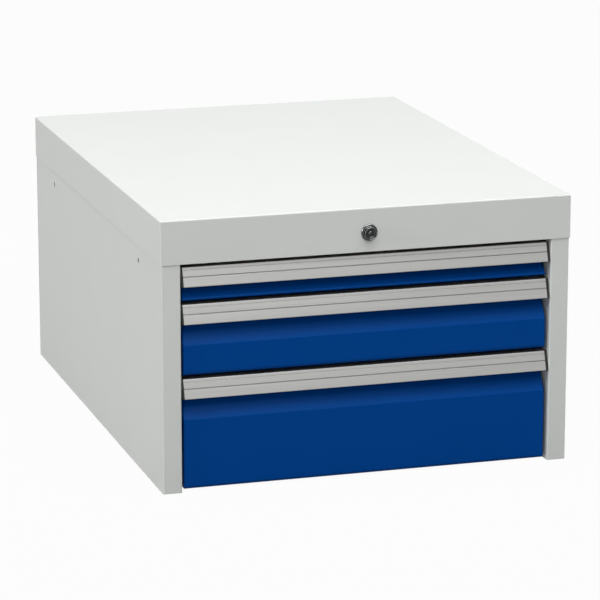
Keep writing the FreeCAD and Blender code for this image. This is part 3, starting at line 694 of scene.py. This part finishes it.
# Grooves: height below the top edge, width at the mouth, width at the floor, and depth.
label_groove = (4.0 * mm, 0.7 * mm, 0.7 * mm, 0.7 * mm)
grip_groove = (12.4 * mm, 1.4 * mm, 0.2 * mm, 1.1 * mm)
web_corner_drop = 1.4 * strip_wall
edge_round = 0.8 * mm
fine_round = 0.2 * mm
face_run = math.hypot(face_lean, face_height)


def on_face(number, along, inwards):
    """Y, Z of a point on a strip, along its leaning face from the top edge and in from the face."""
    low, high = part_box("handle_strip_%d" % number)
    step_y, step_z = -face_lean / face_run, -face_height / face_run
    top_y = low.y + face_lean
    return (top_y + along * step_y - inwards * step_z, high.z + along * step_z + inwards * step_y)


def strip_section(number):
    """Outline of the extrusion as (Y, Z, bend radius) points."""
    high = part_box("handle_strip_%d" % number)[1]
    points = [on_face(number, 0, 0) + (edge_round,)]
    for drop, mouth, floor, depth in (label_groove, grip_groove):
        middle = drop * (face_run / face_height)
        for along, inwards in (
            (middle - mouth / 2, 0),
            (middle - floor / 2, depth),
            (middle + floor / 2, depth),
            (middle + mouth / 2, 0),
        ):
            points.append(on_face(number, along, inwards) + (fine_round,))
    points.append(on_face(number, face_run, 0) + (edge_round,))
    points.append(on_face(number, face_run, strip_lip) + (edge_round,))
    points.append(on_face(number, face_run - strip_wall, strip_lip) + (edge_round,))
    points.append(on_face(number, face_run - strip_wall, strip_wall) + (edge_round,))
    inner_y = on_face(number, web_corner_drop, strip_wall)[0]
    foot_y = high.y - foot_wall
    points.append((inner_y, high.z - strip_wall, edge_round))
    points.append((foot_y, high.z - strip_wall, edge_round))
    points.append((foot_y, high.z - foot_height, fine_round))
    points.append((high.y, high.z - foot_height, fine_round))
    points.append((high.y, high.z, fine_round))
    return points


def extruded(name, section, start, length, material):
    """Mesh of a section given as (Y, Z, bend radius), pushed along X."""
    points = [(y, z, 0) for y, z, bend in section]
    edges = [(i, (i + 1) % len(points)) for i in range(len(points))]
    bends = [bend for y, z, bend in section]
    sizes = {"Start": start, "Length": length, "Arc Steps": arc_steps, "Finish": material}
    return grow(name, section_tree, points, edges, sizes, [("bend", "FLOAT", bends)])


for number in drawer_numbers:
    node = "handle_strip_%d" % number
    low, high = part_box(node)
    name = "handle_strip_extrusion_%d" % number
    strip = extruded(name, strip_section(number), low.x, high.x - low.x, anodised_aluminium)
    fit(name, strip, "drawer_%d" % number, "handle_aluminium", node)

# ---------------------------------------------------------------- handle end caps
# Black polypropylene mouldings, 2.9 mm thick, one pushed into each end of a strip. They have
# rounded outer edges and the fine even grain of a spark-eroded mould.

grain_pitch = 0.5 * mm
tooth_depth = 0.03 * mm
black_polypropylene, tree = start_material("black_polypropylene")
spot = add_node(tree, "ShaderNodeTexCoord").outputs["Object"]
grain = {"Vector": spot, "Scale": 1 / grain_pitch, "Detail": 3.0}
grain = add_node(tree, "ShaderNodeTexNoise", grain)
shade = {0: grain.outputs["Fac"], 6: linear("#0B0B0B"), 7: linear("#141414")}
shade = add_node(tree, "ShaderNodeMix", shade, data_type="RGBA")
gloss = add_node(tree, "ShaderNodeMapRange", {0: grain.outputs["Fac"], 3: 0.45, 4: 0.6})
tooth = {"Height": grain.outputs["Fac"], "Strength": 0.4, "Distance": tooth_depth}
tooth = add_node(tree, "ShaderNodeBump", tooth)
surface = {
    "Base Color": shade.outputs[2],
    "Roughness": gloss.outputs[0],
    "IOR": 1.49,
    "Specular IOR Level": 0.3,
    "Normal": tooth.outputs[0],
}
finish_material(tree, add_node(tree, "ShaderNodeBsdfPrincipled", surface))

cap_round = 1.2 * mm
cap_edge = 0.5 * mm
cap_edge_segments = 3
cap_sharp_angle = math.radians(60)
cap_crisp_angle = math.radians(50)


def cap_section(number):
    """Side view of an end cap, as (Y, Z, bend radius) points."""
    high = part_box("handle_strip_%d" % number)[1]
    return [
        on_face(number, 0, 0) + (cap_round,),
        on_face(number, face_run, 0) + (cap_round,),
        on_face(number, face_run, strip_lip) + (cap_round,),
        (high.y, high.z - slope_start + strip_wall, fine_round),
        (high.y, high.z, fine_round),
    ]


def joined(name, meshes, material):
    """One mesh out of several, with its sharp edges rounded."""
    whole = bmesh.new()
    for mesh in meshes:
        whole.from_mesh(mesh)
    shared = [e for e in whole.edges if len(e.link_faces) == 2]
    sharp = [e for e in shared if e.calc_face_angle() > cap_sharp_angle]
    bmesh.ops.bevel(
        whole,
        geom=sharp,
        offset=cap_edge,
        segments=cap_edge_segments,
        profile=0.5,
        affect="EDGES",
    )
    mesh = bpy.data.meshes.new(name)
    whole.to_mesh(mesh)
    whole.free()
    mesh.materials.append(material)
    mesh.shade_smooth()
    mesh.set_sharp_from_angle(angle=cap_crisp_angle)
    return finished(name, place(name + "_base", mesh))


for number in drawer_numbers:
    node = "handle_caps_%d" % number
    low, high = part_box(node)
    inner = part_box("handle_strip_%d" % number)[1].x
    wall = high.x - inner
    name = "handle_end_caps_%d" % number
    ends = [
        extruded("cap", cap_section(number), start, wall, black_polypropylene)
        for start in (low.x, inner)
    ]
    caps = joined(name, ends, black_polypropylene)
    fit(name, caps, "drawer_%d" % number, "cap_plastic", node)

# ---------------------------------------------------------------- drawer screws
# Zinc-plated steel, eight in each drawer: four pan heads inside the tray's front wall, which clamp
# the front and its handle strip, and four inside its side walls, which hold the slides.

screw_height = 1.2 * mm
front_screw_shares = (-0.8, -0.27, 0.27, 0.8)
front_screw_drop = foot_height * 2 / 3
tray_sheet = 1 * mm

for number in drawer_numbers:
    low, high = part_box("drawer_tray_%d" % number)
    slide_low, slide_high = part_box("slide_inner_left_%d" % number)
    screw_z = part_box("handle_strip_%d" % number)[1].z - front_screw_drop
    spots = [(share * high.x, low.y + tray_sheet, screw_z) for share in front_screw_shares]
    facings = [(0, 1, 0)] * len(spots)
    for y in screw_rows:
        for side in (-1, 1):
            spots.append((side * (high.x - tray_sheet), y, (slide_low.z + slide_high.z) / 2))
            facings.append((-side, 0, 0))
    name = "drawer_screw_heads_%d" % number
    heads = screw_heads(name, spots, facings, screw_height)
    fit(name, heads, "drawer_%d" % number, "zinc_steel", "drawer_screws_%d" % number)

# ---------------------------------------------------------------- lock
# Cylinder lock: a die-cast body with a round-edged flange and a short barrel in front and a thread
# behind, all in dark polished chrome. Its nut draws the flange against the skirt.

# Dark chrome, fogged a little by handling. A painted highlight: its colour is made paler where an
# edge is rounded, since there it faces half ahead and half aside, and four times the product of the
# two is near 1.
swirl_pitch = 1.2 * mm
rim_highlight_gain = 4.0
rim_highlight_falloff = 2.0
dark_chrome, tree = start_material("dark_polished_chrome")
where = add_node(tree, "ShaderNodeTexCoord")
haze = {"Vector": where.outputs["Object"], "Scale": 1 / swirl_pitch, "Detail": 3.0}
haze = add_node(tree, "ShaderNodeTexNoise", haze)
chrome = {0: haze.outputs["Fac"], 6: linear("#2C2D2D"), 7: linear("#373838")}
chrome = add_node(tree, "ShaderNodeMix", chrome, data_type="RGBA")
facing = add_node(tree, "ShaderNodeSeparateXYZ", {0: where.outputs["Normal"]})
ahead = add_node(tree, "ShaderNodeMath", {0: facing.outputs["Y"]}, operation="ABSOLUTE").outputs[0]
aside = add_node(tree, "ShaderNodeMath", {0: 1.0, 1: ahead}, operation="SUBTRACT").outputs[0]
bend = add_node(tree, "ShaderNodeMath", {0: ahead, 1: aside}, operation="MULTIPLY").outputs[0]
bend = {0: bend, 1: rim_highlight_gain}
bend = add_node(tree, "ShaderNodeMath", bend, operation="MULTIPLY").outputs[0]
rounded = {0: bend, 1: rim_highlight_falloff}
rounded = add_node(tree, "ShaderNodeMath", rounded, operation="POWER").outputs[0]
# Painted highlight: the chrome's colour turns paler on rounded edges, by the mask above.
rim_highlight_paint = {0: rounded, 6: chrome.outputs[2], 7: linear("#8E9090")}
rim_highlight_paint = add_node(tree, "ShaderNodeMix", rim_highlight_paint, data_type="RGBA")
gloss = add_node(tree, "ShaderNodeMapRange", {0: haze.outputs["Fac"], 3: 0.08, 4: 0.16})
surface = {"Base Color": rim_highlight_paint.outputs[2], "Metallic": 1.0, "Roughness": gloss.outputs[0]}
finish_material(tree, add_node(tree, "ShaderNodeBsdfPrincipled", surface))

lock_flange_radius = 11.5 * mm
lock_flange_height = 2.2 * mm
lock_barrel_radius = 8.25 * mm
lock_barrel_height = 8 * mm
lock_body_radius = 9.5 * mm
lock_bore_radius = 7.05 * mm
rim_round = 2.1 * mm
barrel_round = 0.8 * mm
thread_pitch = 1 * mm
thread_depth = 0.5 * mm
thread_crest_share = 0.45
thread_root_share = 0.95
bore_chamfer = 0.3 * mm
barrel_foot = 0.4 * mm
barrel_steps = 5
rim_steps = 8
turned_sides = 64
turned_crisp_angle = math.radians(40)
lock_low, lock_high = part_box("lock_housing")
lock_axis_z = (lock_low.z + lock_high.z) / 2


def rounded_edge(radius, depth, bend, steps):
    """Points of a quarter round from the face at this depth to the side at this radius."""
    turns = [math.radians(90 * step / steps) for step in range(steps + 1)]
    return [
        (radius - bend * (1 - math.sin(turn)), depth + bend * (1 - math.cos(turn)))
        for turn in turns
    ]


def lock_profile():
    """Radius and depth behind the front of the barrel, round the body's wall in section."""
    length = lock_high.y - lock_low.y
    flange_face = lock_barrel_height - lock_flange_height
    ring = [
        (lock_bore_radius, length),
        (lock_bore_radius, bore_chamfer),
        (lock_bore_radius + bore_chamfer, 0),
    ]
    ring += rounded_edge(lock_barrel_radius, 0, barrel_round, barrel_steps)
    ring.append((lock_barrel_radius, flange_face - barrel_foot))
    ring.append((lock_barrel_radius + barrel_foot, flange_face))
    ring += rounded_edge(lock_flange_radius, flange_face, rim_round, rim_steps)
    ring.append((lock_flange_radius, lock_barrel_height))
    ring.append((lock_body_radius - thread_depth, lock_barrel_height))
    turns = int((length - lock_barrel_height) / thread_pitch)
    for turn in range(turns):
        start = lock_barrel_height + turn * thread_pitch
        root = start + thread_root_share * thread_pitch
        ring.append((lock_body_radius, start + thread_crest_share * thread_pitch))
        ring.append((lock_body_radius - thread_depth, root))
    ring.append((lock_body_radius - thread_depth, length))
    return ring


def lathe(name, profile, material):
    """Solid turned about the lock's axis from (radius, depth) points that go round its wall."""
    turned = bmesh.new()
    ring = [
        turned.verts.new((radius, lock_low.y + depth, lock_axis_z)) for radius, depth in profile
    ]
    edges = [turned.edges.new((a, b)) for a, b in zip(ring, ring[1:] + ring[:1])]
    bmesh.ops.spin(
        turned,
        geom=ring + edges,
        cent=(0, 0, lock_axis_z),
        axis=(0, 1, 0),
        angle=math.tau,
        steps=turned_sides,
        use_merge=True,
    )
    bmesh.ops.remove_doubles(turned, verts=turned.verts, dist=weld_reach)
    bmesh.ops.recalc_face_normals(turned, faces=turned.faces)
    mesh = bpy.data.meshes.new(name)
    turned.to_mesh(mesh)
    turned.free()
    mesh.materials.append(material)
    mesh.shade_smooth()
    mesh.set_sharp_from_angle(angle=turned_crisp_angle)
    return finished(name, place(name + "_base", mesh))


head = lathe("lock_head", lock_profile(), dark_chrome)
fit("lock_head", head, "housing", "lock_chrome", "lock_housing")

# ---------------------------------------------------------------- lock plug
# Turned metal in the same dark chrome, with a rounded shoulder and a ring keyway round a domed pin.
# The key's notch is broached into the ring, and the rear end is bored for the shaft.

keyway_radius = 4.5 * mm
key_pin_radius = 3.3 * mm
keyway_depth = 8 * mm
key_notch_width = 1.6 * mm
key_notch_depth = 0.9 * mm
keyway_chamfer = 0.3 * mm
shoulder_round = 0.7 * mm
shoulder_steps = 4
dome_lean = math.radians(38)
dome_steps = 5
shaft_socket_radius = 4 * mm
shaft_socket_depth = 9 * mm
plug_low, plug_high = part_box("lock_plug")
plug_radius = plug_high.x
plug_start = plug_low.y - lock_low.y
plug_end = plug_high.y - lock_low.y

plug_profile = [(0.0, plug_start)]
dome_radius = key_pin_radius / math.sin(dome_lean)
for step in range(1, dome_steps + 1):
    turn = dome_lean * step / dome_steps
    sink = dome_radius * (1 - math.cos(turn))
    plug_profile.append((dome_radius * math.sin(turn), plug_start + sink))
plug_profile.append((key_pin_radius, plug_start + keyway_depth))
plug_profile.append((keyway_radius, plug_start + keyway_depth))
plug_profile.append((keyway_radius, plug_start + keyway_chamfer))
plug_profile.append((keyway_radius + keyway_chamfer, plug_start))
plug_profile += rounded_edge(plug_radius, plug_start, shoulder_round, shoulder_steps)
plug_profile.append((plug_radius, plug_end))
plug_profile.append((shaft_socket_radius, plug_end))
plug_profile.append((shaft_socket_radius, plug_end - shaft_socket_depth))
plug_profile.append((0.0, plug_end - shaft_socket_depth))

plug = place("plug_blank", lathe("plug_blank", plug_profile, dark_chrome))
notch = (key_notch_width, 2 * keyway_depth, 2 * key_notch_depth)
notch_middle = (0, plug_low.y, lock_axis_z + keyway_radius)
broach = bmesh.new()
bmesh.ops.create_cube(broach, size=1.0)
bmesh.ops.scale(broach, vec=notch, verts=broach.verts)
bmesh.ops.translate(broach, vec=notch_middle, verts=broach.verts)
broach_mesh = bpy.data.meshes.new("keyway_broach")
broach.to_mesh(broach_mesh)
broach.free()
broach_piece = place("keyway_broach", broach_mesh)
cut = plug.modifiers.new("keyway", "BOOLEAN")
cut.operation = "DIFFERENCE"
cut.solver = "EXACT"
cut.object = broach_piece
plug_mesh = finished("lock_plug_turned", plug)
bpy.data.objects.remove(broach_piece)
fit("lock_plug_turned", plug_mesh, "lock_turner", "lock_chrome", "lock_plug")

# ---------------------------------------------------------------- lock linkage
# Behind the plug: a drawn steel shaft, its bracket and crank, and the flat bar with its windows,
# all zinc plated. The bush is turned brass, and the bar's guides are moulded black nylon.

dress(["lock_shaft", "lock_crank", "lock_bar", "shaft_bracket"], zinc_plate)

turning_pitch = 0.5 * mm
turned_brass, tree = start_material("turned_brass")
spot = add_node(tree, "ShaderNodeTexCoord").outputs["Object"]
rings = {"Vector": spot, "Scale": 1 / turning_pitch, "Distortion": 1.5, "Detail": 2.0}
rings = add_node(tree, "ShaderNodeTexWave", rings, bands_direction="Y")
brass = {0: rings.outputs["Fac"], 6: linear("#B08A45"), 7: linear("#C79F55")}
brass = add_node(tree, "ShaderNodeMix", brass, data_type="RGBA")
gloss = add_node(tree, "ShaderNodeMapRange", {0: rings.outputs["Fac"], 3: 0.2, 4: 0.35})
surface = {"Base Color": brass.outputs[2], "Metallic": 1.0, "Roughness": gloss.outputs[0]}
finish_material(tree, add_node(tree, "ShaderNodeBsdfPrincipled", surface))
dress(["shaft_bush"], turned_brass)

mould_pitch = 0.8 * mm
mould_depth = 0.03 * mm
black_nylon, tree = start_material("black_nylon")
spot = add_node(tree, "ShaderNodeTexCoord").outputs["Object"]
grain = {"Vector": spot, "Scale": 1 / mould_pitch, "Detail": 2.0}
grain = add_node(tree, "ShaderNodeTexNoise", grain)
shade = {0: grain.outputs["Fac"], 6: linear("#1A1A1B"), 7: linear("#242425")}
shade = add_node(tree, "ShaderNodeMix", shade, data_type="RGBA")
tooth = {"Height": grain.outputs["Fac"], "Strength": 0.3, "Distance": mould_depth}
tooth = add_node(tree, "ShaderNodeBump", tooth)
surface = {
    "Base Color": shade.outputs[2],
    "Roughness": 0.5,
    "IOR": 1.53,
    "Normal": tooth.outputs[0],
}
finish_material(tree, add_node(tree, "ShaderNodeBsdfPrincipled", surface))
dress(["lock_bar_guides"], black_nylon)
